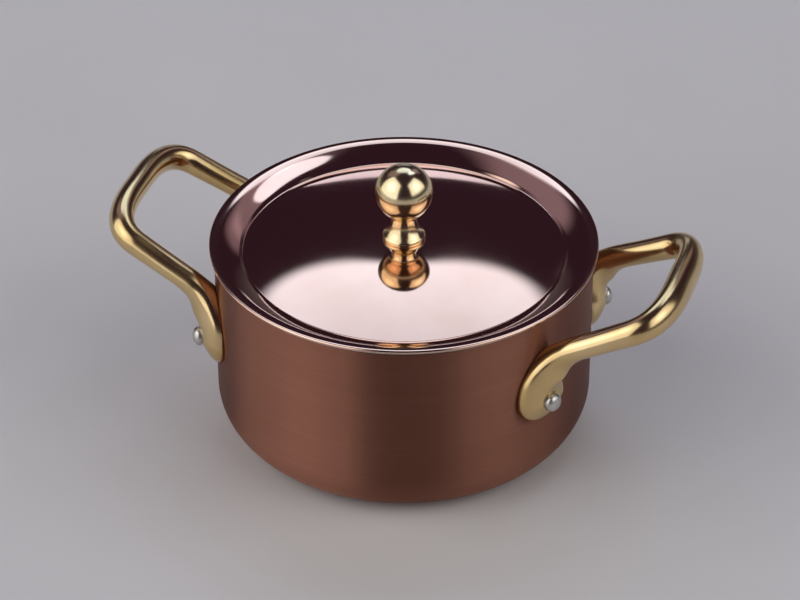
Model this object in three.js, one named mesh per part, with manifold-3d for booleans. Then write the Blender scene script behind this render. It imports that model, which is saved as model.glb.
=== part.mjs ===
// Mini cocotte: a small straight-sided copper pot with two cast brass loop handles and a lid that lifts off.
// Millimetres, +Z up. The origin is the centre of the flat base, on the surface that the pot stands on.
// The handles lie along X.
import * as THREE from 'three';
import { mergeVertices } from 'three/addons/utils/BufferGeometryUtils.js';
import Module from 'manifold-3d';

const wasm = await Module();
wasm.setup();

// Pot: a drawn copper shell with a thin steel lining on its inside
const POT_RADIUS = 46; // outside of the wall
const POT_HEIGHT = 49.2; // base to rim
const POT_COPPER = 1.2; // thickness of the copper
const POT_LINING = 0.3; // thickness of the steel skin
const BASE_CORNER = 11.5; // outside radius of the bend between wall and base
const RIM_ROUND = 0.35; // rounding of the copper rim's outer edge

// Lid: an outer ring with a rounded lip and a straight flank, a valley at its foot, and a low dome inside it
const LID_OVERHANG = 1.2; // how far the lid's edge stands out past the wall
const LID_COPPER = 0.8;
const LID_LINING = 0.3;
const LID_RING_WIDTH = 7.3; // lid's edge to the foot of the ring
const LID_LIP_RADIUS = 4.5; // rounding between the level edge and the ring's flank
const LID_FLANK_ANGLE = THREE.MathUtils.degToRad(21.8); // slope of the ring's flank
const LID_EDGE_FLAT = 1; // level strip at the lid's edge, before the lip starts to fall
const LID_VALLEY_WIDTH = 0.9; // foot of the ring to the edge of the dome
const LID_VALLEY_DROP = 0.6; // how far the dome's edge lies below the foot of the ring
const LID_DOME_RISE = 3.7; // valley to the knob's seat
const LID_SEAT_MARGIN = 0.3; // level seat round the knob's foot
const LID_GAP = 0.1; // clearance of the resting lid over the rim

// Knob: a turned brass ball on a waist and a bell-shaped foot
const KNOB_BALL_RADIUS = 7;
const KNOB_BALL_HEIGHT = 12.8; // foot to the ball's centre
const KNOB_WAIST_RADIUS = 3.1;
const KNOB_WAIST_HEIGHT = 5.6;
const KNOB_FOOT_RADIUS = 5.05;
const KNOB_FOOT_EDGE = 1; // height of the foot's straight edge
const KNOB_BELL_HEIGHT = 2.7; // height at which the slope of the foot's edge would meet the waist
const KNOB_BORE_DEPTH = 9;

// Screw and washer that hold the knob from inside the lid
const SCREW_RADIUS = 2;
const SCREW_THREAD = 7.6; // length of thread inside the knob
const SCREW_HEAD_RADIUS = 3.6;
const SCREW_HEAD_HEIGHT = 1.8;
const SLOT_WIDTH = 1;
const SLOT_DEPTH = 0.9;
const WASHER_RADIUS = 4.6;
const WASHER_THICKNESS = 0.6;
const SCREW_GAP = 0.15; // clearance round the screw

// Handles: round bars on teardrop feet, one rivet in each foot
const FOOT_ANGLE = THREE.MathUtils.degToRad(27.9); // handle's middle to each foot, round the wall
const RIVET_BELOW_RIM = 20.7;
const PAD_WIDTH = 14; // widest part of the foot, level with the rivet
const PAD_THICKNESS = 4.6; // wall to the foot's crest at the rivet
const PAD_TAPER = 15; // length over which the foot narrows to the bar
const BAR_WIDTH = 6; // section of the bar, across the loop
const BAR_THICKNESS = 5.8; // section of the arm, through the loop
const CROSSBAR_THICKNESS = 8; // section of the crossbar's middle, through the loop
const BAR_GROWS_FROM = 28.4; // foot's tip to where the bar starts to thicken, along its middle line
const WEB_DEPTH = 1.9; // extra depth that fills the bend's hollow side
const WEB_FROM_TIP = 17.5; // foot's tip to the deepest part of the web, along the middle line
const WEB_REACH = 9; // half of the web's length
const ROOT_RISE = 10.2; // rivet to the height where the arm's line meets the wall
const SHOULDER_DOWN = 7; // length of the bend along the foot
const SHOULDER_OUT = 9; // length of the bend along the arm
const BAR_REACH = 23.1; // wall to the crossbar, along X
const BAR_RISE = 24.3; // rivet to the crossbar
const BAR_STRAIGHT = 7.1; // straight middle of the crossbar
const CORNER_ALONG_BAR = 15.1; // how far the corner's curve runs into the crossbar
const CORNER_ALONG_ARM = 8.3; // how far the corner's curve runs into the arm

// Rivets
const RIVET_RADIUS = 1.5;
const RIVET_HEAD_RADIUS = 2.35;
const RIVET_HEAD_HEIGHT = 1.9;
const RIVET_HEAD_EDGE = 0.5; // straight edge under the domed head
const RIVET_TAIL_RADIUS = 3;
const RIVET_TAIL_HEIGHT = 0.8; // flattened tail inside the pot
const RIVET_SEAT = 4.2; // wall to the flat seat cut into the foot's crest
const RIVET_SEAT_MARGIN = 0.35; // seat's edge round the head
const CLEARANCE = 0.3; // gap between pieces that meet on a slant or a curve
const TOOL_OVERRUN = 5; // how far a drill or cutter runs past what it cuts

// Fineness of the facets
const TURNED_SIDES = 48;
const KNOB_SIDES = 32;
const SMALL_SIDES = 16;
const BAR_SIDES = 12;
const TIP_STEPS = 5;
const BAR_STEPS = 24;
const CORNER_STEPS = 7;
const RIM_STEPS = 2;
const DOME_STEPS = 5;
const LIP_STEPS = 4;
const BELL_STEPS = 6;
const BALL_STEPS = 12;
const HEAD_STEPS = 5;

// Places worked out from the sizes above
const LINER_RADIUS = POT_RADIUS - POT_COPPER;
const INNER_RADIUS = LINER_RADIUS - POT_LINING;
const LID_RADIUS = POT_RADIUS + LID_OVERHANG;
const LID_THICKNESS = LID_COPPER + LID_LINING;
const RIVET_HEIGHT = POT_HEIGHT - RIVET_BELOW_RIM;
const KNOB_SEAT_RADIUS = KNOB_FOOT_RADIUS + LID_SEAT_MARGIN;
const CORNER_SPREAD = BAR_STRAIGHT / 2 + CORNER_ALONG_BAR;

const COPPER_SATIN = { color: 0xb9826b, roughness: 0.34, metalness: 1 };
const COPPER_POLISHED = { color: 0xc98f7c, roughness: 0.08, metalness: 1 };
const BRASS_POLISHED = { color: 0xd9c07c, roughness: 0.12, metalness: 1 };
const STEEL_SATIN = { color: 0xc8c8c6, roughness: 0.3, metalness: 1 };

// Points of an arc in a profile, angles in degrees from the outward direction
function arc(x, y, radius, from, to, steps) {
  return Array.from({ length: steps + 1 }, (_, i) => {
    const angle = THREE.MathUtils.degToRad(from + ((to - from) * i) / steps);
    return new THREE.Vector2(x + radius * Math.cos(angle), y + radius * Math.sin(angle));
  });
}

function point(radius, height) {
  return new THREE.Vector2(radius, height);
}

// Merge shared corners and drop the empty triangles at a pole, so that the surface is closed
function welded(geometry) {
  geometry.deleteAttribute('normal');
  geometry.deleteAttribute('uv');
  const merged = mergeVertices(geometry);
  const corners = merged.index.array;
  const kept = [];
  for (let i = 0; i < corners.length; i += 3) {
    const [a, b, c] = corners.slice(i, i + 3);
    if (a !== b && b !== c && c !== a) {
      kept.push(a, b, c);
    }
  }
  merged.setIndex(kept);
  return merged;
}

// A profile of radius and height turned about Z
function turned(profile, sides) {
  return welded(new THREE.LatheGeometry(profile, sides).rotateX(Math.PI / 2));
}

// A profile that closes on itself, turned about Z
function turnedRing(profile, sides) {
  return turned([...profile, profile[0].clone()], sides);
}

// A round peg along X, between two distances from the axis of the pot
function peg(radius, from, to) {
  const geometry = new THREE.CylinderGeometry(radius, radius, to - from, SMALL_SIDES);
  return welded(geometry.rotateZ(-Math.PI / 2).translate((from + to) / 2, 0, 0));
}

function toSolid(geometry) {
  const mesh = { numProp: 3, vertProperties: geometry.attributes.position.array };
  mesh.triVerts = new Uint32Array(geometry.index.array);
  return new wasm.Manifold(new wasm.Mesh(mesh));
}

function cut(geometry, tools) {
  const solid = tools.reduce((rest, tool) => rest.subtract(toSolid(tool)), toSolid(geometry));
  const mesh = solid.getMesh();
  const result = new THREE.BufferGeometry();
  result.setAttribute('position', new THREE.BufferAttribute(mesh.vertProperties, 3));
  result.setIndex(new THREE.BufferAttribute(mesh.triVerts, 1));
  return result;
}

// A closed skin over rings of points, from one tip to the other
function skin(rings, firstTip, lastTip) {
  const sides = rings[0].length;
  const points = [...rings.flat(), firstTip, lastTip];
  const first = points.length - 2;
  const last = points.length - 1;
  const faces = [];
  for (let side = 0; side < sides; side += 1) {
    const next = (side + 1) % sides;
    faces.push(first, next, side);
    for (let ring = 0; ring < rings.length - 1; ring += 1) {
      const low = ring * sides;
      const high = low + sides;
      faces.push(low + side, low + next, high + next, low + side, high + next, high + side);
    }
    const end = (rings.length - 1) * sides;
    faces.push(last, end + side, end + next);
  }
  const geometry = new THREE.BufferGeometry().setFromPoints(points);
  geometry.setIndex(faces);
  return geometry;
}

const cocotte = new THREE.Group();

function add(name, geometry, finish, angle = 0, height = 0) {
  const mesh = new THREE.Mesh(geometry, new THREE.MeshStandardMaterial(finish));
  mesh.name = name;
  mesh.rotation.z = angle;
  mesh.position.z = height;
  cocotte.add(mesh);
}

// The four feet, as angles round the pot
const rivetPlaces = [
  { name: 'right_front', angle: -FOOT_ANGLE },
  { name: 'right_back', angle: FOOT_ANGLE },
  { name: 'left_back', angle: Math.PI - FOOT_ANGLE },
  { name: 'left_front', angle: Math.PI + FOOT_ANGLE },
];

// Rivet holes through one layer of the wall
function wallHoles(inside, outside) {
  const hole = peg(RIVET_RADIUS + CLEARANCE, inside - TOOL_OVERRUN, outside + TOOL_OVERRUN);
  return rivetPlaces.map(({ angle }) => hole.clone().rotateZ(angle).translate(0, 0, RIVET_HEIGHT));
}

// Half of a bent sheet: base, corner and wall up to the rim, at one depth below the outside
function potLine(depth) {
  const flat = POT_RADIUS - BASE_CORNER;
  return [point(0, depth), ...arc(flat, BASE_CORNER, BASE_CORNER - depth, -90, 0, CORNER_STEPS)];
}

function potBody() {
  const rim = [
    ...arc(POT_RADIUS - RIM_ROUND, POT_HEIGHT - RIM_ROUND, RIM_ROUND, 0, 90, RIM_STEPS),
    point(LINER_RADIUS, POT_HEIGHT),
  ];
  const profile = [...potLine(0), ...rim, ...potLine(POT_COPPER).reverse()];
  return cut(turned(profile, TURNED_SIDES), wallHoles(LINER_RADIUS, POT_RADIUS));
}

function potLining() {
  const rim = [point(LINER_RADIUS, POT_HEIGHT), point(INNER_RADIUS, POT_HEIGHT)];
  const profile = [...potLine(POT_COPPER), ...rim, ...potLine(POT_COPPER + POT_LINING).reverse()];
  return cut(turned(profile, TURNED_SIDES), wallHoles(INNER_RADIUS, LINER_RADIUS));
}

// Lid: the fall of the ring's lip and flank below the lid's edge, at a radius
const lipCentre = LID_RADIUS - LID_EDGE_FLAT;
function ringFall(radius) {
  const inward = lipCentre - radius;
  const lipWidth = LID_LIP_RADIUS * Math.sin(LID_FLANK_ANGLE);
  const onLip = Math.min(inward, lipWidth);
  const lipFall = LID_LIP_RADIUS - Math.sqrt(LID_LIP_RADIUS ** 2 - onLip ** 2);
  return lipFall + (inward - onLip) * Math.tan(LID_FLANK_ANGLE);
}

const ringFoot = LID_RADIUS - LID_RING_WIDTH;
const domeRadius = ringFoot - LID_VALLEY_WIDTH;
const lidEdgeTop = POT_HEIGHT + LID_GAP + LID_THICKNESS + ringFall(INNER_RADIUS);
const valleyTop = lidEdgeTop - ringFall(ringFoot) - LID_VALLEY_DROP;
const seatTop = valleyTop + LID_DOME_RISE;
const seatUnder = seatTop - LID_THICKNESS;

// The lid's upper surface from the screw hole to the edge, lowered by a depth
function lidLine(depth) {
  const reach = domeRadius - KNOB_SEAT_RADIUS;
  const sphere = (reach ** 2 + LID_DOME_RISE ** 2) / (2 * LID_DOME_RISE);
  const spread = THREE.MathUtils.radToDeg(Math.asin(reach / sphere));
  const flank = THREE.MathUtils.radToDeg(LID_FLANK_ANGLE);
  return [
    point(SCREW_RADIUS + SCREW_GAP, seatTop),
    ...arc(KNOB_SEAT_RADIUS, seatTop - sphere, sphere, 90, 90 - spread, DOME_STEPS),
    point(ringFoot, lidEdgeTop - ringFall(ringFoot)),
    ...arc(lipCentre, lidEdgeTop - LID_LIP_RADIUS, LID_LIP_RADIUS, 90 + flank, 90, LIP_STEPS),
    point(LID_RADIUS, lidEdgeTop),
  ].map(({ x, y }) => point(x, y - depth));
}

function lidSheet(topDepth, underDepth) {
  return turnedRing([...lidLine(underDepth), ...lidLine(topDepth).reverse()], TURNED_SIDES);
}

function lidKnob() {
  const bore = SCREW_RADIUS + SCREW_GAP;
  const neckDrop = Math.sqrt(KNOB_BALL_RADIUS ** 2 - KNOB_WAIST_RADIUS ** 2);
  const neck = THREE.MathUtils.radToDeg(Math.atan2(-neckDrop, KNOB_WAIST_RADIUS));
  const edge = point(KNOB_FOOT_RADIUS, KNOB_FOOT_EDGE);
  const waist = point(KNOB_WAIST_RADIUS, KNOB_WAIST_HEIGHT);
  const bend = point(KNOB_WAIST_RADIUS, KNOB_BELL_HEIGHT);
  const bell = new THREE.QuadraticBezierCurve(edge, bend, waist);
  const profile = [
    point(0, KNOB_BORE_DEPTH),
    point(bore, KNOB_BORE_DEPTH),
    point(bore, 0),
    point(KNOB_FOOT_RADIUS, 0),
    ...bell.getPoints(BELL_STEPS),
    ...arc(0, KNOB_BALL_HEIGHT, KNOB_BALL_RADIUS, neck, 90, BALL_STEPS),
  ];
  return turned(profile, KNOB_SIDES);
}

function knobScrew() {
  const shankTop = WASHER_THICKNESS + LID_THICKNESS + SCREW_THREAD;
  const profile = [
    point(0, -SCREW_HEAD_HEIGHT),
    point(SCREW_HEAD_RADIUS - SCREW_HEAD_HEIGHT / 2, -SCREW_HEAD_HEIGHT),
    point(SCREW_HEAD_RADIUS, -SCREW_HEAD_HEIGHT / 2),
    point(SCREW_HEAD_RADIUS, 0),
    point(SCREW_RADIUS, 0),
    point(SCREW_RADIUS, shankTop),
    point(0, shankTop),
  ];
  const slotLength = 2 * (SCREW_HEAD_RADIUS + TOOL_OVERRUN);
  const slot = new THREE.BoxGeometry(slotLength, SLOT_WIDTH, 2 * SLOT_DEPTH);
  return cut(turned(profile, SMALL_SIDES), [welded(slot.translate(0, 0, -SCREW_HEAD_HEIGHT))]);
}

function knobWasher() {
  const hole = SCREW_RADIUS + SCREW_GAP;
  const profile = [
    point(hole, 0),
    point(WASHER_RADIUS, 0),
    point(WASHER_RADIUS, WASHER_THICKNESS),
    point(hole, WASHER_THICKNESS),
  ];
  return turnedRing(profile, SMALL_SIDES);
}

// A smooth step from 0 to 1
function ease(share) {
  return THREE.MathUtils.smoothstep(share, 0, 1);
}

// Half of the handle's middle line: up the wall, out along the arm and round to the middle of the crossbar
function handleLine() {
  const outward = new THREE.Vector3(Math.cos(FOOT_ANGLE), -Math.sin(FOOT_ANGLE), 0);
  const wall = outward.clone().multiplyScalar(POT_RADIUS);
  const onWall = (height) => wall.clone().setZ(height);
  const tip = onWall(RIVET_HEIGHT - PAD_WIDTH / 2);
  const root = onWall(RIVET_HEIGHT + ROOT_RISE);
  const shoulderLow = onWall(RIVET_HEIGHT + ROOT_RISE - SHOULDER_DOWN);
  const corner = new THREE.Vector3(POT_RADIUS + BAR_REACH, -CORNER_SPREAD, RIVET_HEIGHT + BAR_RISE);
  const middle = corner.clone().setY(0);
  const towards = (from, to, length) => to.clone().sub(from).setLength(length).add(from);
  const shoulderHigh = towards(root, corner, SHOULDER_OUT);
  const cornerStart = towards(corner, root, CORNER_ALONG_ARM);
  const cornerEnd = towards(corner, middle, CORNER_ALONG_BAR);
  const line = new THREE.CurvePath();
  line.add(new THREE.LineCurve3(tip, shoulderLow));
  line.add(new THREE.QuadraticBezierCurve3(shoulderLow, root, shoulderHigh));
  line.add(new THREE.LineCurve3(shoulderHigh, cornerStart));
  line.add(new THREE.QuadraticBezierCurve3(cornerStart, corner, cornerEnd));
  line.add(new THREE.LineCurve3(cornerEnd, middle));
  const arm = corner.clone().sub(root).setY(0).normalize();
  const loopUp = new THREE.Vector3(-arm.z, 0, arm.x);
  return { line, tip, wallInward: outward.negate(), loopUp };
}

// Half sizes of the section at a distance from the tip of the foot: a teardrop with a round end, whose crest
// falls to the tip as a parabola, then the bar, which thickens towards the middle of the crossbar. The web
// deepens the side that faces away from the wall.
function barSection(distance, length) {
  const round = PAD_WIDTH / 2;
  const toRivet = Math.min(1, distance / round);
  const tip = Math.sqrt(1 - (1 - toRivet) ** 2);
  const crest = Math.sqrt(toRivet);
  const toBar = ease((distance - round) / PAD_TAPER);
  const toMiddle = ease((distance - BAR_GROWS_FROM) / (length - BAR_GROWS_FROM));
  const thickness = THREE.MathUtils.lerp(BAR_THICKNESS, CROSSBAR_THICKNESS, toMiddle);
  return {
    across: THREE.MathUtils.lerp(round * tip, BAR_WIDTH / 2, toBar),
    through: THREE.MathUtils.lerp(PAD_THICKNESS * crest, thickness / 2, toBar),
    web: WEB_DEPTH * ease(1 - Math.abs(distance - WEB_FROM_TIP) / WEB_REACH),
    toBar,
  };
}

// One ring of the handle's skin, square to its middle line
function barRing({ line, wallInward, loopUp }, distance) {
  const length = line.getLength();
  const share = Math.min(1, distance / length);
  const centre = line.getPointAt(share);
  const along = line.getTangentAt(share);
  const { across, through, web, toBar } = barSection(distance, length);
  const facing = wallInward.clone().lerp(loopUp, toBar);
  const side = facing.cross(along).normalize();
  const up = along.clone().cross(side);
  return Array.from({ length: BAR_SIDES }, (_, i) => {
    const angle = (2 * Math.PI * i) / BAR_SIDES;
    const offset = side.clone().multiplyScalar(across * Math.cos(angle));
    const depth = angle > Math.PI ? through + web : through;
    return offset.addScaledVector(up, depth * Math.sin(angle)).add(centre);
  });
}

function handle() {
  const middleLine = handleLine();
  const round = PAD_WIDTH / 2;
  const bar = middleLine.line.getLength() - round;
  const tipDistances = Array.from({ length: TIP_STEPS }, (_, i) => {
    return round * (1 - Math.cos(((i + 1) / (TIP_STEPS + 1)) * (Math.PI / 2)));
  });
  const barDistances = Array.from({ length: BAR_STEPS + 1 }, (_, i) => round + (bar * i) / BAR_STEPS);
  const nearHalf = [...tipDistances, ...barDistances].map((distance) => barRing(middleLine, distance));
  const mirrored = (place) => new THREE.Vector3(place.x, -place.y, place.z);
  const farHalf = nearHalf.slice(0, -1).reverse().map((ring) => ring.map(mirrored));
  const bent = skin([...nearHalf, ...farHalf], middleLine.tip, mirrored(middleLine.tip));
  const wall = new THREE.CylinderGeometry(
    POT_RADIUS + CLEARANCE, POT_RADIUS + CLEARANCE, 2 * POT_HEIGHT, TURNED_SIDES);
  const outside = POT_RADIUS + PAD_THICKNESS + TOOL_OVERRUN;
  const hole = peg(RIVET_RADIUS + CLEARANCE, POT_RADIUS - TOOL_OVERRUN, outside);
  const seat = peg(RIVET_HEAD_RADIUS + RIVET_SEAT_MARGIN, POT_RADIUS + RIVET_SEAT, outside);
  const drilled = [-FOOT_ANGLE, FOOT_ANGLE].flatMap((angle) => {
    return [hole, seat].map((tool) => tool.clone().rotateZ(angle).translate(0, 0, RIVET_HEIGHT));
  });
  return cut(bent, [welded(wall.rotateX(Math.PI / 2)), ...drilled]);
}

// A rivet along X: flattened tail inside the pot, shank through the wall, domed head on the foot
function rivet() {
  const tailFace = INNER_RADIUS - CLEARANCE;
  const headFace = POT_RADIUS + RIVET_SEAT + CLEARANCE;
  const dome = RIVET_HEAD_HEIGHT - RIVET_HEAD_EDGE;
  const domeArc = arc(0, 0, 1, 0, 90, HEAD_STEPS).map(({ x, y }) => {
    return point(RIVET_HEAD_RADIUS * x, headFace + RIVET_HEAD_EDGE + dome * y);
  });
  const profile = [
    point(0, tailFace - RIVET_TAIL_HEIGHT),
    point(RIVET_TAIL_RADIUS - RIVET_TAIL_HEIGHT, tailFace - RIVET_TAIL_HEIGHT),
    point(RIVET_TAIL_RADIUS, tailFace),
    point(RIVET_RADIUS, tailFace),
    point(RIVET_RADIUS, headFace),
    point(RIVET_HEAD_RADIUS, headFace),
    ...domeArc,
  ];
  return turned(profile, SMALL_SIDES).rotateY(Math.PI / 2);
}

add('pot_body', potBody(), COPPER_SATIN);
add('pot_lining', potLining(), STEEL_SATIN);
add('handle_right', handle(), BRASS_POLISHED);
add('handle_left', handle(), BRASS_POLISHED, Math.PI);
for (const { name, angle } of rivetPlaces) {
  add(`rivet_${name}`, rivet(), STEEL_SATIN, angle, RIVET_HEIGHT);
}
add('lid_shell', lidSheet(0, LID_COPPER), COPPER_POLISHED);
add('lid_lining', lidSheet(LID_COPPER, LID_THICKNESS), STEEL_SATIN);
add('lid_knob', lidKnob(), BRASS_POLISHED, 0, seatTop);
add('knob_washer', knobWasher(), STEEL_SATIN, 0, seatUnder - WASHER_THICKNESS);
add('knob_screw', knobScrew(), STEEL_SATIN, 0, seatUnder - WASHER_THICKNESS);

export default cocotte;
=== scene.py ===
import math

import bmesh
import bpy
import numpy as np
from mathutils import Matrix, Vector


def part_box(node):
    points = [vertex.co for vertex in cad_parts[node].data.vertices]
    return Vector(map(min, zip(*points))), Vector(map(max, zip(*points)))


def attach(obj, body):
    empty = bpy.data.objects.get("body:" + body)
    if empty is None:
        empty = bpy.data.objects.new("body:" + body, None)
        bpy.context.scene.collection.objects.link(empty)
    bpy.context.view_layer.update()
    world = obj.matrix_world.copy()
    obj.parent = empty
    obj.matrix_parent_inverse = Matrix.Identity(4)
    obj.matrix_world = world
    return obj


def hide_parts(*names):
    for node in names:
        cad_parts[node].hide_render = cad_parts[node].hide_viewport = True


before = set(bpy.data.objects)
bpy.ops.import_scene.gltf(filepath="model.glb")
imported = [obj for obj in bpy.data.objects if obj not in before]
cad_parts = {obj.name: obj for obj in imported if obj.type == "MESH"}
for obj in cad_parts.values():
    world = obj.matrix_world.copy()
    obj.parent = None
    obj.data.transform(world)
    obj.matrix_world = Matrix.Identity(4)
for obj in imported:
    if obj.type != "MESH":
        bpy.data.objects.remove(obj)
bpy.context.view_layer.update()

# Mini cocotte: a satin copper pot with cast brass handles, and a polished copper lid with a turned
# brass knob. Metres, +Z up. The origin is the centre of the flat base, and the handles lie along X.

MM = 0.001

# Sizes that the frame gives
pot_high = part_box("pot_body")[1]
lining_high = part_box("pot_lining")[1]
lid_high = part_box("lid_shell")[1]
lid_lining_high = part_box("lid_lining")[1]
knob_low, knob_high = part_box("lid_knob")
washer_low, washer_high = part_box("knob_washer")
screw_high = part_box("knob_screw")[1]
rivet_low, rivet_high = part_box("rivet_right_front")

POT_RADIUS = pot_high.x
POT_HEIGHT = pot_high.z
POT_COPPER = POT_RADIUS - lining_high.x
RIVET_HEIGHT = (rivet_low.z + rivet_high.z) / 2
LID_RADIUS = lid_high.x
SEAT_TOP = knob_low.z
LID_COPPER = SEAT_TOP - lid_lining_high.z
LID_THICKNESS = SEAT_TOP - washer_high.z
KNOB_TOP = knob_high.z

# Pot
POT_LINING = 0.3 * MM
BASE_CORNER = 11.5 * MM  # outside radius of the bend between wall and base
RIM_ROUND = 0.35 * MM

# Lid
LID_RING_WIDTH = 7.3 * MM  # lid's edge to the foot of the ring
LID_EDGE_FLAT = 1 * MM  # level strip at the lid's edge
LID_LIP_RADIUS = 6 * MM  # rounding between the level edge and the ring's flank
LID_LIP_END = math.radians(15)  # slope of the lip at the crease where the flank starts
LID_FLANK_START = math.radians(19)  # slope of the flank at the crease
LID_FLANK_END = math.radians(28)  # slope at its foot
LID_VALLEY_WIDTH = 0.9 * MM  # foot of the ring to the edge of the dome
LID_VALLEY_DROP = 0.6 * MM  # dome's edge below the foot of the ring
LID_DOME_RISE = 3.7 * MM
LID_VALLEY_ROUND = 0.3 * MM  # width over which the valley is rounded
LID_SEAT_MARGIN = 0.1 * MM  # level seat beyond the knob's foot

# Knob
KNOB_BALL_RADIUS = 7 * MM
KNOB_WAIST_RADIUS = 3.1 * MM
KNOB_WAIST_HEIGHT = 5.6 * MM
KNOB_FOOT_RADIUS = 5.25 * MM  # 0.2 mm more than the solid's
KNOB_FOOT_EDGE = 1 * MM
KNOB_BELL_HEIGHT = 2.7 * MM  # height at which the slope of the foot's edge would meet the waist
KNOB_EDGE_ROUND = 0.16 * MM  # at the bottom of the foot's edge
KNOB_LIP_ROUND = 0.5 * MM  # at its top
KNOB_NECK_RADIUS = 3.9 * MM  # where the ball leaves its sphere to run into the waist
KNOB_NECK_ROUND = 0.9 * MM

# Screw and washer
SCREW_RADIUS = 2 * MM
SCREW_HEAD_RADIUS = 3.6 * MM
SCREW_HEAD_HEIGHT = 1.8 * MM
SLOT_WIDTH = 1 * MM
SLOT_DEPTH = 0.9 * MM

# Handles
FOOT_ANGLE = math.radians(27.9)  # handle's middle to each foot, round the wall
PAD_WIDTH = 14 * MM
PAD_THICKNESS = 4.6 * MM
PAD_TAPER = 15 * MM  # length over which the foot narrows to the bar
BAR_WIDTH = 6 * MM
BAR_THICKNESS = 5.8 * MM
CROSSBAR_THICKNESS = 8 * MM
BAR_GROWS_FROM = 28.4 * MM  # foot's tip to where the bar starts to thicken
WEB_DEPTH = 1.9 * MM  # extra depth that fills the bend's hollow side
WEB_FROM_TIP = 17.5 * MM  # foot's tip to where the web is deepest
WEB_REACH = 9 * MM  # from there to where it ends
CREST_PEAK = 0.35  # how far the shoulder's section goes from round towards a ridge
ROOT_RISE = 10.2 * MM  # rivet to where the arm's line meets the wall
SHOULDER_DOWN = 7 * MM  # from there down to the start of the bend
SHOULDER_OUT = 9 * MM  # and out to its end
TURN_REACH = 5 * MM  # length either way over which a section's direction is averaged
BAR_REACH = 23.1 * MM
BAR_RISE = 24.3 * MM
BAR_STRAIGHT = 7.1 * MM
CORNER_ALONG_BAR = 15.1 * MM
CORNER_ALONG_ARM = 8.3 * MM
FOOT_GAP = 0.04 * MM  # foot's back to the wall
# Painted shade: a dark brown painted on the handles close to the wall, standing in for the shadow in the
# gap there.
PAINTED_SHADE_DEPTH = 0.35 * MM  # distance from the wall over which the painted shade fades
PAINTED_SHADE_SHARE = 0.8

# Rivets
RIVET_HEAD_RADIUS = 2.35 * MM
RIVET_HEAD_HEIGHT = 2.1 * MM
RIVET_HEAD_EDGE = 0.45 * MM
RIVET_TAIL_RADIUS = 3 * MM
RIVET_TAIL_HEIGHT = 0.8 * MM
RIVET_SEAT = 4.2 * MM  # wall to the flat under the head
RIVET_SEAT_RADIUS = 2.7 * MM

# Camera, from the photo's viewing angle
IMAGE_WIDTH = 800
FOCAL_PIXELS = 3609
SENSOR_WIDTH = 36
VIEW_AZIMUTH = math.radians(17.92)
VIEW_ELEVATION = math.radians(34.47)
VIEW_DISTANCE = 883.6 * MM
VIEW_TARGET = Vector((-0.9, -0.3, 33.0)) * MM

# Room
FLOOR_HALF = 6
FLOOR_GAP = 0.05 * MM  # below the base, so that the two faces don't coincide
HORIZON_HEIGHT = 0.25  # height on the unit sphere up to which the room is lighter
DAYLIGHT = "#D0E4FF"
SKYLIGHT = "#E2E7FF"
LILAC = "#F8E4FF"

# Fineness of the surfaces
MERGE_DISTANCE = 0.0005 * MM
TURNS = 256
KNOB_TURNS = 128
SMALL_TURNS = 64
BAR_TURNS = 64


# Meshes

def smoothstep(share):
    """A smooth step from 0 to 1: 3 t^2 - 2 t^3, with t held between 0 and 1."""
    t = np.clip(share, 0, 1)
    return t * t * (3 - 2 * t)


def arc(radius, height, size, start, end, steps):
    """Points of an arc in a profile: centre plus size times (cos, sin), angles in degrees from outwards."""
    angle = np.radians(np.linspace(start, end, steps))
    return np.stack([radius + size * np.cos(angle), height + size * np.sin(angle)], axis=1)


def stretch(start, end, steps):
    """Points of a straight stretch of a profile, evenly spaced."""
    return np.linspace(start, end, steps)


def curve(points, steps):
    """Points of a Bezier curve: each of n+1 points p_k weighted by C(n, k) t^k (1-t)^(n-k)."""
    t = np.linspace(0, 1, steps)[:, None]
    n = len(points) - 1
    weights = [math.comb(n, k) * t ** k * (1 - t) ** (n - k) for k in range(n + 1)]
    return sum(weight * np.asarray(point) for weight, point in zip(weights, points))


def lengths(points):
    """Length along a line of points, from its first point to each one."""
    steps = np.linalg.norm(np.diff(points, axis=0), axis=1)
    return np.concatenate([[0], np.cumsum(steps)])


def turned(profile, turns):
    """A profile of (radius, height) carried round Z: (r cos a, r sin a, z), profile by angle."""
    angle = np.linspace(0, 2 * np.pi, turns, endpoint=False)
    radius, height = profile[:, :1], profile[:, 1:]
    x, y = radius * np.cos(angle), radius * np.sin(angle)
    return np.stack([x, y, np.broadcast_to(height, x.shape)], axis=-1)


def piece(name, grid, material, body, slot, node, sharp=40, **attributes):
    """A closed mesh over a grid of points whose columns join into rings. Points that meet are merged, so
    rings that shrink to a point close as poles. Each attribute is one number for each point, for the
    material to read."""
    rows, columns = grid.shape[:2]
    index = np.arange(rows * columns).reshape(rows, columns)
    beside = np.roll(index, -1, axis=1)
    faces = np.stack([index[:-1], beside[:-1], beside[1:], index[1:]], axis=-1).reshape(-1, 4)
    mesh = bpy.data.meshes.new(name)
    mesh.from_pydata(grid.reshape(-1, 3), [], faces)
    for key, values in attributes.items():
        everywhere = np.broadcast_to(values, (rows, columns)).astype(np.float32)
        mesh.attributes.new(key, "FLOAT", "POINT").data.foreach_set("value", everywhere.ravel())
    shape = bmesh.new()
    shape.from_mesh(mesh)
    bmesh.ops.remove_doubles(shape, verts=shape.verts, dist=MERGE_DISTANCE)
    shape.to_mesh(mesh)
    shape.free()
    mesh.shade_smooth()
    mesh.set_sharp_from_angle(angle=math.radians(sharp))
    mesh.materials.append(material)
    made = bpy.data.objects.new(name, mesh)
    bpy.context.collection.objects.link(made)
    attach(made, body)
    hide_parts(node)


def turned_piece(name, profile, turns, material, body, slot, node):
    """A turned piece that carries the length along its profile as the attribute along."""
    along = lengths(profile)[:, None]
    piece(name, turned(profile, turns), material, body, slot, node, along=along)


# Materials

ACROSS_LINES = 0.25  # a quarter turn, so that brushed reflections blur across the lines


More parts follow.
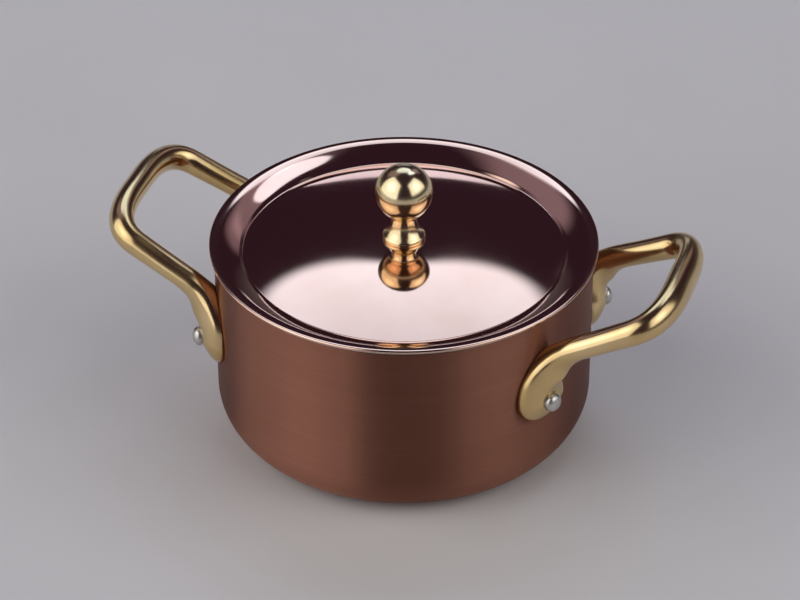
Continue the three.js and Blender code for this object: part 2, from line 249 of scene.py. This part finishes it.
def linear(hex_colour):
    """An sRGB hex colour as linear red, green, blue and alpha."""
    srgb = np.array([int(hex_colour[i:i + 2], 16) for i in (1, 3, 5)]) / 255
    value = np.where(srgb <= 0.04045, srgb / 12.92, ((srgb + 0.055) / 1.055) ** 2.4)
    return (*value.tolist(), 1.0)


def add_node(tree, kind, inputs=None, **settings):
    """Adds a shader node with its settings. An input that is given a socket is linked, any other is set."""
    made = tree.nodes.new("ShaderNode" + kind)
    for name, value in settings.items():
        setattr(made, name, value)
    for name, value in (inputs or {}).items():
        if isinstance(value, bpy.types.NodeSocket):
            tree.links.new(value, made.inputs[name])
        else:
            made.inputs[name].default_value = value
    return made


def new_material(name):
    """An empty node material, and its node tree."""
    material = bpy.data.materials.new(name)
    material.use_nodes = True
    material.node_tree.nodes.clear()
    return material, material.node_tree


def finish_material(tree, shader):
    """Links a shader to the material's output."""
    add_node(tree, "OutputMaterial", {"Surface": shader.outputs["BSDF"]})


def turned_lines(tree, spacing, run):
    """Noise drawn out round the axis: lines a spacing apart along the profile, each about one run long."""
    place = add_node(tree, "TexCoord").outputs["Object"]
    along = add_node(tree, "Attribute", attribute_name="along").outputs["Fac"]
    across = add_node(tree, "Math", {0: along, 1: 1 / spacing}, operation="MULTIPLY").outputs[0]
    lines = add_node(tree, "CombineXYZ", {"Z": across}).outputs[0]
    flat = (1 / run, 1 / run, 0)
    round_axis = add_node(tree, "VectorMath", {0: place, 1: flat}, operation="MULTIPLY").outputs[0]
    both = add_node(tree, "VectorMath", {0: round_axis, 1: lines}, operation="ADD").outputs[0]
    noise = add_node(tree, "TexNoise", {"Vector": both, "Scale": 1, "Detail": 3, "Roughness": 0.6})
    return noise.outputs["Fac"]


def clouds(tree, size, detail=4):
    """Soft blotches of about one size."""
    place = add_node(tree, "TexCoord").outputs["Object"]
    return add_node(tree, "TexNoise", {"Vector": place, "Scale": 1 / size, "Detail": detail}).outputs["Fac"]


def spread(tree, value, low, high, to_low, to_high):
    """A value's range from low to high, moved to another range."""
    inputs = {"Value": value, "From Min": low, "From Max": high, "To Min": to_low, "To Max": to_high}
    return add_node(tree, "MapRange", inputs).outputs["Result"]


def mixed(tree, share, first, second):
    """Two colours mixed by a share."""
    inputs = {0: share, 6: first, 7: second}
    return add_node(tree, "Mix", inputs, data_type="RGBA").outputs[2]


def satin_copper():
    """Drawn copper sheet, brushed round the wall on a lathe: hairlines that blur reflections up and down,
    and faint darker patches where the copper has begun to tarnish. Its base colours carry painted shade."""
    material, tree = new_material("copper_sheet_brushed")
    hairlines = turned_lines(tree, 0.22 * MM, 40 * MM)
    bands = turned_lines(tree, 3 * MM, 400 * MM)
    patches = clouds(tree, 28 * MM)
    # Painted shade: these base colours are darker and browner than bare copper, as if the wall reflected a
    # dark room.
    brushed = mixed(tree, spread(tree, hairlines, 0.3, 0.7, 0, 1), linear("#8F604F"), linear("#996A59"))
    banded = mixed(tree, spread(tree, bands, 0.35, 0.65, 0, 0.2), brushed, linear("#845645"))
    colour = mixed(tree, spread(tree, patches, 0.45, 0.75, 0, 0.3), banded, linear("#7C4F3E"))
    roughness = spread(tree, hairlines, 0.3, 0.7, 0.42, 0.47)
    bump = add_node(tree, "Bump", {"Height": hairlines, "Strength": 0.1, "Distance": 0.01 * MM})
    tangent = add_node(tree, "Tangent", direction_type="RADIAL", axis="Z")
    shader = add_node(tree, "BsdfPrincipled", {
        "Base Color": colour, "Metallic": 1, "Roughness": roughness,
        "Anisotropic": 0.97, "Anisotropic Rotation": ACROSS_LINES,
        "Normal": bump.outputs[0], "Tangent": tangent.outputs[0]})
    finish_material(tree, shader)
    return material


def polished_copper():
    """Spun copper buffed to a mirror: sharp reflections, the finest rings left by the buffing wheel, and
    faint smears where it was wiped."""
    material, tree = new_material("copper_sheet_mirror_polished")
    rings = turned_lines(tree, 0.5 * MM, 60 * MM)
    smears = clouds(tree, 22 * MM)
    colour = mixed(tree, spread(tree, smears, 0.35, 0.7, 0, 1), linear("#E7C2AD"), linear("#DFB8A2"))
    roughness = spread(tree, smears, 0.3, 0.75, 0.04, 0.09)
    bump = add_node(tree, "Bump", {"Height": rings, "Strength": 0.05, "Distance": 0.01 * MM})
    shader = add_node(tree, "BsdfPrincipled", {
        "Base Color": colour, "Metallic": 1, "Roughness": roughness, "Normal": bump.outputs[0]})
    finish_material(tree, shader)
    return material


def cast_brass():
    """Sand-cast brass, filed and buffed by hand: bright, with a slow waviness left by the file, fine
    scratches, and painted shade, a dark brown, in the corner where the foot meets the wall."""
    material, tree = new_material("brass_cast_polished")
    waves = clouds(tree, 5 * MM, 1)
    scratches = clouds(tree, 0.5 * MM, 2)
    tone = clouds(tree, 12 * MM)
    crevice = add_node(tree, "Attribute", attribute_name="crevice").outputs["Fac"]
    clean = mixed(tree, spread(tree, tone, 0.35, 0.7, 0, 1), linear("#E2C898"), linear("#D3B57C"))
    # Painted shade: mixed towards dark brown close to the wall, where the gap lies in shadow.
    colour = mixed(tree, crevice, clean, linear("#7A5A2C"))
    roughness = spread(tree, tone, 0.3, 0.7, 0.15, 0.23)
    slow = add_node(tree, "Bump", {"Height": waves, "Strength": 0.12, "Distance": 0.12 * MM})
    fine = add_node(tree, "Bump", {
        "Height": scratches, "Strength": 0.04, "Distance": 0.02 * MM, "Normal": slow.outputs[0]})
    shader = add_node(tree, "BsdfPrincipled", {
        "Base Color": colour, "Metallic": 1, "Roughness": roughness, "Normal": fine.outputs[0]})
    finish_material(tree, shader)
    return material


def turned_brass():
    """Brass bar turned on a lathe and polished: mirror bright, with the finest turning lines."""
    material, tree = new_material("brass_turned_polished")
    lines = turned_lines(tree, 0.3 * MM, 20 * MM)
    tone = clouds(tree, 9 * MM)
    colour = mixed(tree, spread(tree, tone, 0.35, 0.7, 0, 1), linear("#EBDAB2"), linear("#E0C894"))
    roughness = spread(tree, tone, 0.3, 0.7, 0.14, 0.2)
    bump = add_node(tree, "Bump", {"Height": lines, "Strength": 0.06, "Distance": 0.02 * MM})
    shader = add_node(tree, "BsdfPrincipled", {
        "Base Color": colour, "Metallic": 1, "Roughness": roughness, "Normal": bump.outputs[0]})
    finish_material(tree, shader)
    return material


def lining_steel():
    """Stainless steel sheet, brushed in circles: grey, softly blurred, with hairlines round the axis."""
    material, tree = new_material("stainless_steel_brushed")
    hairlines = turned_lines(tree, 0.4 * MM, 25 * MM)
    patches = clouds(tree, 18 * MM)
    brushed = mixed(tree, spread(tree, hairlines, 0.3, 0.7, 0, 1), linear("#C2C1BE"), linear("#D4D3D0"))
    colour = mixed(tree, spread(tree, patches, 0.45, 0.75, 0, 0.4), brushed, linear("#B4B2AD"))
    roughness = spread(tree, hairlines, 0.3, 0.7, 0.26, 0.36)
    bump = add_node(tree, "Bump", {"Height": hairlines, "Strength": 0.2, "Distance": 0.02 * MM})
    tangent = add_node(tree, "Tangent", direction_type="RADIAL", axis="Z")
    shader = add_node(tree, "BsdfPrincipled", {
        "Base Color": colour, "Metallic": 1, "Roughness": roughness,
        "Anisotropic": 0.6, "Anisotropic Rotation": ACROSS_LINES,
        "Normal": bump.outputs[0], "Tangent": tangent.outputs[0]})
    finish_material(tree, shader)
    return material


def rivet_steel(name, colour_low, colour_high):
    """Steel headed in a die and tumbled: pale grey, satin, with tiny dents."""
    material, tree = new_material(name)
    dents = clouds(tree, 0.7 * MM, 2)
    tone = clouds(tree, 2.5 * MM)
    colour = mixed(tree, spread(tree, tone, 0.35, 0.7, 0, 1), linear(colour_low), linear(colour_high))
    roughness = spread(tree, dents, 0.3, 0.7, 0.26, 0.40)
    bump = add_node(tree, "Bump", {"Height": dents, "Strength": 0.15, "Distance": 0.05 * MM})
    shader = add_node(tree, "BsdfPrincipled", {
        "Base Color": colour, "Metallic": 1, "Roughness": roughness, "Normal": bump.outputs[0]})
    finish_material(tree, shader)
    return material


# Pot

def pot_line(depth, steps):
    """Half of the bent sheet at one depth below its outside: flat base, then a quarter round up to the
    foot of the wall."""
    flat = POT_RADIUS - BASE_CORNER
    corner = arc(flat, BASE_CORNER, BASE_CORNER - depth, -90, 0, steps)
    return np.concatenate([stretch((0, depth), (flat, depth), 40)[:-1], corner])


def pot_body(material):
    """Outer face, a rim with a rounded outer edge, and the inner face that the lining covers."""
    inside = POT_RADIUS - POT_COPPER
    rim = arc(POT_RADIUS - RIM_ROUND, POT_HEIGHT - RIM_ROUND, RIM_ROUND, 0, 90, 9)
    wall = stretch((POT_RADIUS, BASE_CORNER), rim[0], 60)
    back = pot_line(POT_COPPER, 24)[::-1]
    inner_wall = stretch((inside, POT_HEIGHT), back[0], 8)
    outer = pot_line(0, 40)
    profile = np.concatenate([outer[:-1], wall[:-1], rim, inner_wall[:-1], back])
    turned_piece("pot_body_brushed", profile, TURNS, material, "pot", "satin_copper", "pot_body")


def pot_lining(material):
    """The thin skin inside the copper, with its own edge at the rim."""
    outside = POT_RADIUS - POT_COPPER
    inside = outside - POT_LINING
    outer = pot_line(POT_COPPER, 24)
    inner = pot_line(POT_COPPER + POT_LINING, 40)[::-1]
    wall = stretch((inside, POT_HEIGHT), inner[0], 50)
    profile = np.concatenate([outer, [(outside, POT_HEIGHT)], wall[:-1], inner])
    turned_piece("pot_lining_brushed", profile, TURNS, material, "pot", "lining_steel", "pot_lining")


# Lid

LIP_CENTRE = LID_RADIUS - LID_EDGE_FLAT
RING_FOOT = LID_RADIUS - LID_RING_WIDTH
DOME_RADIUS = RING_FOOT - LID_VALLEY_WIDTH
KNOB_SEAT_RADIUS = KNOB_FOOT_RADIUS + LID_SEAT_MARGIN
VALLEY_TOP = SEAT_TOP - LID_DOME_RISE


def ring_fall(radius):
    """Fall of the ring below the lid's edge: an arc of the lip's circle to the crease, then an arc of a
    larger circle to the ring's foot. An arc of radius R that starts at a slope a falls by
    R cos a - sqrt(R^2 - x^2) where x, measured from the circle's middle, starts at R sin a."""
    inward = np.clip(LIP_CENTRE - radius, 0, LIP_CENTRE - RING_FOOT)
    lip_width = LID_LIP_RADIUS * math.sin(LID_LIP_END)
    on_lip = np.minimum(inward, lip_width)
    lip = LID_LIP_RADIUS - np.sqrt(LID_LIP_RADIUS ** 2 - on_lip ** 2)
    flank_width = LIP_CENTRE - RING_FOOT - lip_width
    flank_radius = flank_width / (math.sin(LID_FLANK_END) - math.sin(LID_FLANK_START))
    along_flank = flank_radius * math.sin(LID_FLANK_START) + inward - on_lip
    return lip + flank_radius * math.cos(LID_FLANK_START) - np.sqrt(flank_radius ** 2 - along_flank ** 2)


def lid_height(radius):
    """Height of the lid's upper face over its radius: a level seat, a dome cut from a sphere, a straight
    valley side, the ring's flank and lip and a level edge, averaged over a short width to round the
    valley."""
    reach = DOME_RADIUS - KNOB_SEAT_RADIUS
    sphere = (reach ** 2 + LID_DOME_RISE ** 2) / (2 * LID_DOME_RISE)

    def sharp(r):
        out = np.clip(r - KNOB_SEAT_RADIUS, 0, reach)
        dome = SEAT_TOP - sphere + np.sqrt(sphere ** 2 - out ** 2)
        valley = VALLEY_TOP + LID_VALLEY_DROP * np.clip((r - DOME_RADIUS) / LID_VALLEY_WIDTH, 0, 1)
        return np.where(r < DOME_RADIUS, dome, valley + ring_fall(RING_FOOT) - ring_fall(r))

    offsets = np.linspace(-LID_VALLEY_ROUND, LID_VALLEY_ROUND, 29)
    weights = 1 + np.cos(np.pi * offsets / LID_VALLEY_ROUND)
    near = np.abs(radius[:, None] - (DOME_RADIUS + RING_FOOT) / 2) < 4 * LID_VALLEY_ROUND
    averaged = (sharp(radius[:, None] + offsets) * weights).sum(axis=1) / weights.sum()
    return np.where(near[:, 0], averaged, sharp(radius))


def lid_face(depth, inner, outer, steps):
    """A profile of the lid's sheet at one depth below its upper face, with more points round the valley."""
    even = np.linspace(inner, outer, steps)
    valley = np.linspace(DOME_RADIUS - 2 * LID_VALLEY_ROUND, RING_FOOT + 2 * LID_VALLEY_ROUND, 40)
    radius = np.unique(np.concatenate([even, valley]))
    return np.stack([radius, lid_height(radius) - depth], axis=1)


def lid_shell(material):
    """Upper face, a rounded edge the thickness of the sheet, and the under face that the lining covers."""
    hole = SCREW_RADIUS
    edge_round = LID_COPPER / 2
    edge_height = lid_height(np.array([LID_RADIUS]))[0] - edge_round
    edge = arc(LID_RADIUS - edge_round, edge_height, edge_round, -90, 90, 15)
    under = lid_face(LID_COPPER, hole, LID_RADIUS - edge_round, 60)
    upper = lid_face(0, hole, LID_RADIUS - edge_round, 130)[::-1]
    profile = np.concatenate([under[:-1], edge, upper[1:], under[:1]])
    turned_piece("lid_shell_polished", profile, TURNS, material, "lid", "polished_copper", "lid_shell")


def lid_lining(material):
    """The thin skin under the lid, with a rounded edge."""
    hole = SCREW_RADIUS
    skin = LID_THICKNESS - LID_COPPER
    outer = LID_RADIUS - LID_COPPER / 2
    edge_height = lid_height(np.array([outer]))[0] - LID_COPPER - skin / 2
    edge = arc(outer - skin / 2, edge_height, skin / 2, -90, 90, 7)
    under = lid_face(LID_THICKNESS, hole, outer - skin / 2, 110)
    upper = lid_face(LID_COPPER, hole, outer - skin / 2, 50)[::-1]
    profile = np.concatenate([under[:-1], edge, upper[1:], under[:1]])
    turned_piece("lid_lining_brushed", profile, TURNS, material, "lid", "lining_steel", "lid_lining")


def lid_knob(material):
    """Ball, waist and bell-shaped foot turned from one bar: an arc, a quadratic rounding at the neck, a
    quadratic flare, a quadratic rounding of the foot's lip and a straight edge."""
    start = -math.acos(KNOB_NECK_RADIUS / KNOB_BALL_RADIUS)
    ball = arc(0, KNOB_TOP - KNOB_BALL_RADIUS, KNOB_BALL_RADIUS, math.degrees(start), 90, 90)
    low, high = SEAT_TOP, SEAT_TOP + KNOB_FOOT_EDGE
    foot, r = KNOB_FOOT_RADIUS, KNOB_EDGE_ROUND
    waist, bend = KNOB_WAIST_RADIUS, SEAT_TOP + KNOB_BELL_HEIGHT
    flare = curve([(foot, high), (waist, bend), (waist, SEAT_TOP + KNOB_WAIST_HEIGHT)], 60)
    bell = flare[np.linalg.norm(flare - flare[0], axis=1) > KNOB_LIP_ROUND]
    lip = curve([(foot, high - KNOB_LIP_ROUND), (foot, high), bell[0]], 10)
    meets = ball[0, 1] + (KNOB_NECK_RADIUS - waist) / math.tan(start)
    neck = curve([(waist, meets - KNOB_NECK_ROUND), (waist, meets), ball[0]], 12)
    profile = np.concatenate([
        stretch((0, low), (foot - r, low), 12)[:-1],
        arc(foot - r, low + r, r, -90, 0, 6),
        lip[:-1],
        bell,
        neck[:-1],
        ball,
    ])
    turned_piece("lid_knob_turned", profile, KNOB_TURNS, material, "lid", "turned_brass", "lid_knob")


def knob_washer(material):
    """A flat ring with rounded edges."""
    inner, outer = SCREW_RADIUS, washer_high.x
    r = (washer_high.z - washer_low.z) / 4
    low, high = washer_low.z, washer_high.z
    profile = np.concatenate([
        stretch((inner, low), (outer - r, low), 12)[:-1],
        arc(outer - r, low + r, r, -90, 0, 6),
        arc(outer - r, high - r, r, 0, 90, 6),
        stretch((outer - r, high), (inner, high), 12)[1:],
        [(inner, low)],
    ])
    turned_piece("knob_washer_turned", profile, SMALL_TURNS, material, "lid", "screw_steel", "knob_washer")


def knob_screw(material):
    """Shank and domed head with a straight slot: the head's face is pressed up by the slot's depth where
    it lies within half a slot's width of the middle."""
    face = washer_low.z
    r = SCREW_HEAD_HEIGHT / 2
    rise = arc(SCREW_HEAD_RADIUS - r, face - SCREW_HEAD_HEIGHT + r, r, -90, 0, 10)
    profile = np.concatenate([
        stretch((0, face - SCREW_HEAD_HEIGHT), rise[0], 60)[:-1],
        rise,
        stretch((SCREW_HEAD_RADIUS, face), (SCREW_RADIUS, face), 6),
        stretch((SCREW_RADIUS, face), (SCREW_RADIUS, screw_high.z), 6)[1:],
        [(0, screw_high.z)],
    ])
    grid = turned(profile, KNOB_TURNS)
    slot_end = face - SCREW_HEAD_HEIGHT + SLOT_DEPTH
    in_slot = np.abs(grid[..., 1]) < SLOT_WIDTH / 2
    grid[..., 2] = np.where(in_slot, np.maximum(grid[..., 2], slot_end), grid[..., 2])
    along = lengths(profile)[:, None]
    piece("knob_screw_slotted", grid, material, "lid", "screw_steel", "knob_screw", along=along)


# Handles

def handle_line(steps):
    """Half of the handle's middle line, at lengths from the foot's tip: up the wall, round the shoulder,
    out along the arm and round the corner to the middle of the crossbar. Straight stretches joined by
    quadratic curves. Its direction at a length is that of the chord from a reach before it to a reach
    after it."""
    outward = np.array([math.cos(FOOT_ANGLE), -math.sin(FOOT_ANGLE), 0])

    def on_wall(height):
        return outward * POT_RADIUS + np.array([0, 0, height])

    def towards(start, end, length):
        return start + (end - start) * length / np.linalg.norm(end - start)

    tip = on_wall(RIVET_HEIGHT - PAD_WIDTH / 2)
    root = on_wall(RIVET_HEIGHT + ROOT_RISE)
    low = on_wall(RIVET_HEIGHT + ROOT_RISE - SHOULDER_DOWN)
    spread_out = BAR_STRAIGHT / 2 + CORNER_ALONG_BAR
    corner = np.array([POT_RADIUS + BAR_REACH, -spread_out, RIVET_HEIGHT + BAR_RISE])
    middle = corner * (1, 0, 1)
    high = towards(root, corner, SHOULDER_OUT)
    start = towards(corner, root, CORNER_ALONG_ARM)
    end = towards(corner, middle, CORNER_ALONG_BAR)
    path = np.concatenate([
        stretch(tip, low, 50)[:-1], curve([low, root, high], 100)[:-1], stretch(high, start, 50)[:-1],
        curve([start, corner, end], 100)[:-1], stretch(end, middle, 50)])
    arm = (corner - root) * (1, 0, 1)
    arm /= np.linalg.norm(arm)
    loop_up = np.array([-arm[2], 0, arm[0]])
    length = lengths(path)
    round_tip = PAD_WIDTH / 2 * (1 - np.cos(np.linspace(0, np.pi / 2, 24)))
    distance = np.concatenate([round_tip, np.linspace(PAD_WIDTH / 2, length[-1], steps)[1:]])

    def at(places):
        return np.stack([np.interp(places, length, path[:, i]) for i in range(3)], axis=1)

    chord = at(distance + TURN_REACH) - at(distance - TURN_REACH)
    along = chord / np.linalg.norm(chord, axis=1)[:, None]
    return distance, at(distance), along, -outward, loop_up


def handle_grid(steps):
    """One handle: sections across the middle line's direction. At the foot, at a distance d from the tip,
    the half width is w sqrt(1-(1-d/w)^2) and the crest's height h sqrt(d/w). Both ease to the bar over
    the taper, and the bar thickens towards the crossbar's middle. Sections are ellipses,
    (a cos t, b sin t). Round the shoulder the side away from the wall is deeper by the web, and powers
    above 1 of the sine and cosine draw it to a soft ridge. What would reach into the wall lies on the
    wall, and the crest round the rivet is pressed flat."""
    distance, centre, along, inward, loop_up = handle_line(steps)
    round_end = PAD_WIDTH / 2
    to_rivet = np.clip(distance / round_end, 0, 1)
    to_bar = smoothstep((distance - round_end) / PAD_TAPER)
    to_middle = smoothstep((distance - BAR_GROWS_FROM) / (distance[-1] - BAR_GROWS_FROM))
    thickness = BAR_THICKNESS + (CROSSBAR_THICKNESS - BAR_THICKNESS) * to_middle
    across = round_end * np.sqrt(1 - (1 - to_rivet) ** 2) * (1 - to_bar) + BAR_WIDTH / 2 * to_bar
    through = PAD_THICKNESS * np.sqrt(to_rivet) * (1 - to_bar) + thickness / 2 * to_bar
    shoulder = smoothstep(1 - np.abs(distance - WEB_FROM_TIP) / WEB_REACH)
    facing = inward * (1 - to_bar[:, None]) + loop_up * to_bar[:, None]
    side = np.cross(facing, along)
    side /= np.linalg.norm(side, axis=1)[:, None]
    up = np.cross(along, side)
    angle = np.linspace(0, 2 * np.pi, BAR_TURNS, endpoint=False)
    cos, sin = np.cos(angle), np.sin(angle)
    from_wall = (sin < 0) * shoulder[:, None]
    power = 1 + CREST_PEAK * from_wall
    wide = across[:, None] * np.sign(cos) * np.abs(cos) ** power
    deep = (through[:, None] + WEB_DEPTH * from_wall) * np.sign(sin) * np.abs(sin) ** power
    half = centre[:, None, :] + wide[..., None] * side[:, None, :] + deep[..., None] * up[:, None, :]
    rivet_foot = -inward * POT_RADIUS + np.array([0, 0, RIVET_HEIGHT])
    out = (half - rivet_foot) @ -inward
    beside = np.linalg.norm(half - rivet_foot - out[..., None] * -inward, axis=-1)
    press = np.where(beside < RIVET_SEAT_RADIUS, np.maximum(out - RIVET_SEAT, 0), 0)
    half = half + press[..., None] * inward
    from_axis = np.hypot(half[..., 0], half[..., 1])
    push = np.maximum(from_axis, POT_RADIUS + FOOT_GAP) / from_axis
    half[..., :2] *= push[..., None]
    whole = np.concatenate([half, (half * (1, -1, 1))[-2::-1]])
    run = np.concatenate([distance, 2 * distance[-1] - distance[-2::-1]])
    return whole, run[:, None]


def handle(name, node, turn, material):
    """A handle, turned about Z by half turns, with the closeness to the wall as an attribute for the
    painted shade there.
    """
    grid, along = handle_grid(170)
    from_wall = np.hypot(grid[..., 0], grid[..., 1]) - POT_RADIUS
    # Painted shade: strongest where the handle touches the wall, fading within a fraction of a millimetre.
    crevice = PAINTED_SHADE_SHARE * np.exp(-from_wall / PAINTED_SHADE_DEPTH)
    grid = grid * (turn, turn, 1)
    piece(name, grid, material, "pot", "cast_brass", node, 60, along=along, crevice=crevice)


def rivet(name, node, angle, material):
    """Domed head on the foot, and a low button inside the pot: a profile turned about the rivet's own
    line, then laid along the wall's normal at the foot."""
    seat = POT_RADIUS + RIVET_SEAT
    dome = RIVET_HEAD_HEIGHT - RIVET_HEAD_EDGE
    head = arc(0, 0, 1, 0, 90, 24) * (RIVET_HEAD_RADIUS, dome) + (0, seat + RIVET_HEAD_EDGE)
    inside = POT_RADIUS - POT_COPPER - POT_LINING
    tail = arc(0, 0, 1, -90, 0, 16) * (RIVET_TAIL_RADIUS, RIVET_TAIL_HEIGHT) + (0, inside)
    shank = RIVET_HEAD_RADIUS / 2
    profile = np.concatenate([tail, [(shank, inside), (shank, seat), (RIVET_HEAD_RADIUS, seat)], head])
    grid = turned(profile, SMALL_TURNS)
    outward = np.array([math.cos(angle), math.sin(angle), 0])
    sideways = np.array([-math.sin(angle), math.cos(angle), 0])
    upward = np.array([0, 0, 1])
    laid = grid[..., :1] * sideways + grid[..., 1:2] * upward + grid[..., 2:] * outward
    piece(name, laid + upward * RIVET_HEIGHT, material, "pot", "rivet_steel", node)


# Dress every piece

COPPER_SATIN = satin_copper()
COPPER_MIRROR = polished_copper()
BRASS_CAST = cast_brass()
BRASS_TURNED = turned_brass()
STEEL_LINING = lining_steel()
STEEL_RIVET = rivet_steel("steel_rivet_tumbled", "#CFCDC8", "#BDBAB4")
STEEL_SCREW = rivet_steel("steel_screw_turned", "#BDBCB9", "#A9A7A3")

pot_body(COPPER_SATIN)
pot_lining(STEEL_LINING)
lid_shell(COPPER_MIRROR)
lid_lining(STEEL_LINING)
lid_knob(BRASS_TURNED)
knob_washer(STEEL_SCREW)
knob_screw(STEEL_SCREW)
handle("handle_right_cast", "handle_right", 1, BRASS_CAST)
handle("handle_left_cast", "handle_left", -1, BRASS_CAST)
for place, angle in {
    "right_front": -FOOT_ANGLE, "right_back": FOOT_ANGLE,
    "left_back": math.pi - FOOT_ANGLE, "left_front": math.pi + FOOT_ANGLE,
}.items():
    rivet(f"rivet_{place}_headed", f"rivet_{place}", angle, STEEL_RIVET)


# Floor, light and camera

def floor():
    """A plain pale table top, wide enough to fill every view."""
    half = FLOOR_HALF
    corners = [(-half, -half, 0), (half, -half, 0), (half, half, 0), (-half, half, 0)]
    mesh = bpy.data.meshes.new("floor")
    mesh.from_pydata(corners, [], [(0, 1, 2, 3)])
    material, tree = new_material("painted_board_matt")
    tone = clouds(tree, 60 * MM)
    colour = mixed(tree, spread(tree, tone, 0.3, 0.7, 0, 1), linear("#DEDBD9"), linear("#DBD8D6"))
    shader = add_node(tree, "BsdfPrincipled", {"Base Color": colour, "Roughness": 0.6})
    finish_material(tree, shader)
    mesh.materials.append(material)
    made = bpy.data.objects.new("floor", mesh)
    made.location.z = -FLOOR_GAP
    bpy.context.collection.objects.link(made)


def from_camera_side(azimuth, elevation):
    """Unit vector at an azimuth to the right of the camera's side and an elevation, both in degrees."""
    turn = VIEW_AZIMUTH + math.radians(azimuth)
    rise = math.radians(elevation)
    return Vector((math.sin(turn) * math.cos(rise), -math.cos(turn) * math.cos(rise), math.sin(rise)))


def softbox(name, azimuth, elevation, distance, size, radiance, fade, square,
            lean=None, tint="#FFFFFF", dims=0):
    """A soft lamp, turned towards the pot, and leant over it by its elevation or by a lean from upright.
    Its outline is |x|^n + |y|^n = 1 across its half sizes, where n is 2 for an oval and higher the squarer
    it is. Its light fades over a share of them towards the outline, and dims by a share from its foot to
    its top, as on real cloth."""
    light = bpy.data.lights.new(name, "AREA")
    light.shape = "RECTANGLE"
    light.size, light.size_y = size
    light.energy = 4 * radiance * size[0] * size[1]
    light.use_nodes = True
    tree = light.node_tree
    tree.nodes.clear()
    place = add_node(tree, "NewGeometry").outputs["Parametric"]
    across = add_node(tree, "SeparateXYZ", {0: place}).outputs
    powers = []
    for axis in "XY":
        off = add_node(tree, "Math", {0: across[axis], 1: 2, 2: -1}, operation="MULTIPLY_ADD").outputs[0]
        share = add_node(tree, "Math", {0: off}, operation="ABSOLUTE").outputs[0]
        powers.append(add_node(tree, "Math", {0: share, 1: square}, operation="POWER").outputs[0])
    total = add_node(tree, "Math", {0: powers[0], 1: powers[1]}, operation="ADD").outputs[0]
    reach = add_node(tree, "Math", {0: total, 1: 1 / square}, operation="POWER").outputs[0]
    level = add_node(tree, "MapRange", {
        "Value": reach, "From Min": 1 - fade, "From Max": 1, "To Min": 1, "To Max": 0},
        interpolation_type="SMOOTHSTEP").outputs["Result"]
    dimmed = add_node(tree, "Math", {0: across["Y"], 1: -dims, 2: 1}, operation="MULTIPLY_ADD").outputs[0]
    strength = add_node(tree, "Math", {0: level, 1: dimmed}, operation="MULTIPLY").outputs[0]
    glow = add_node(tree, "Emission", {"Color": linear(tint), "Strength": strength})
    add_node(tree, "OutputLight", {"Surface": glow.outputs[0]})
    made = bpy.data.objects.new(name, light)
    made.location = VIEW_TARGET + from_camera_side(azimuth, elevation) * distance
    made.rotation_mode = "QUATERNION"
    facing = -from_camera_side(azimuth, elevation if lean is None else lean)
    made.rotation_quaternion = facing.to_track_quat("-Z", "Y")
    made.visible_camera = False
    bpy.context.collection.objects.link(made)


def surroundings():
    """A dim room, lighter at the horizon than overhead."""
    world = bpy.data.worlds.new("studio")
    world.use_nodes = True
    tree = world.node_tree
    tree.nodes.clear()
    direction = add_node(tree, "TexCoord").outputs["Generated"]
    height = add_node(tree, "SeparateXYZ", {0: direction}).outputs["Z"]
    share = spread(tree, height, 0, HORIZON_HEIGHT, 0, 1)
    colour = mixed(tree, share, linear("#5C585C"), linear("#30202D"))
    background = add_node(tree, "Background", {"Color": colour, "Strength": 1})
    add_node(tree, "OutputWorld", {"Surface": background.outputs[0]})
    bpy.context.scene.world = world


def camera():
    """A long lens at the photo's azimuth, elevation and distance."""
    data = bpy.data.cameras.new("camera")
    data.sensor_width = SENSOR_WIDTH
    data.lens = FOCAL_PIXELS / IMAGE_WIDTH * SENSOR_WIDTH
    made = bpy.data.objects.new("camera", data)
    direction = from_camera_side(0, math.degrees(VIEW_ELEVATION))
    made.location = VIEW_TARGET + direction * VIEW_DISTANCE
    made.rotation_mode = "QUATERNION"
    made.rotation_quaternion = (-direction).to_track_quat("-Z", "Y")
    bpy.context.collection.objects.link(made)
    bpy.context.scene.camera = made


floor()
surroundings()
softbox("softbox_left", -67, 42, 2.1, (3.2, 3.4), radiance=0.95, fade=0.2, square=10, lean=6)
softbox("middle_left", -67, 38, 2.1, (2.1, 2.1), radiance=0.75, fade=0.9, square=2, lean=6)
softbox("softbox_right", 66, 44.8, 2.2, (2.7, 2.7), radiance=0.92, fade=0.3, square=10, lean=6)
softbox("middle_right", 66, 38, 2.2, (1.9, 1.9), radiance=0.75, fade=0.9, square=2, lean=6)
softbox("window_back", 180, 52.5, 1.7, (1.24, 0.9), radiance=1.7, fade=0.2, square=2.4,
        tint=DAYLIGHT, dims=0.45)
softbox("window_back_right", 141, 55, 1.7, (0.34, 0.78), radiance=1.4, fade=0.12, square=2.5, tint=DAYLIGHT)
softbox("panel_back_right", 145, 44, 1.8, (0.6, 1.8), radiance=0.18, fade=0.5, square=4, tint=LILAC)
softbox("panel_low_right", 153, 27, 1.8, (0.36, 0.9), radiance=0.16, fade=0.7, square=3, tint=LILAC)
softbox("panel_back_left", -137, 47, 1.8, (1.0, 1.68), radiance=0.19, fade=0.5, square=4, tint=LILAC)
softbox("strip_back", 180, 12.3, 1.9, (0.7, 0.15), radiance=1.05, fade=0.2, square=8, tint=SKYLIGHT)
camera()

bpy.context.scene.view_settings.view_transform = "Standard"
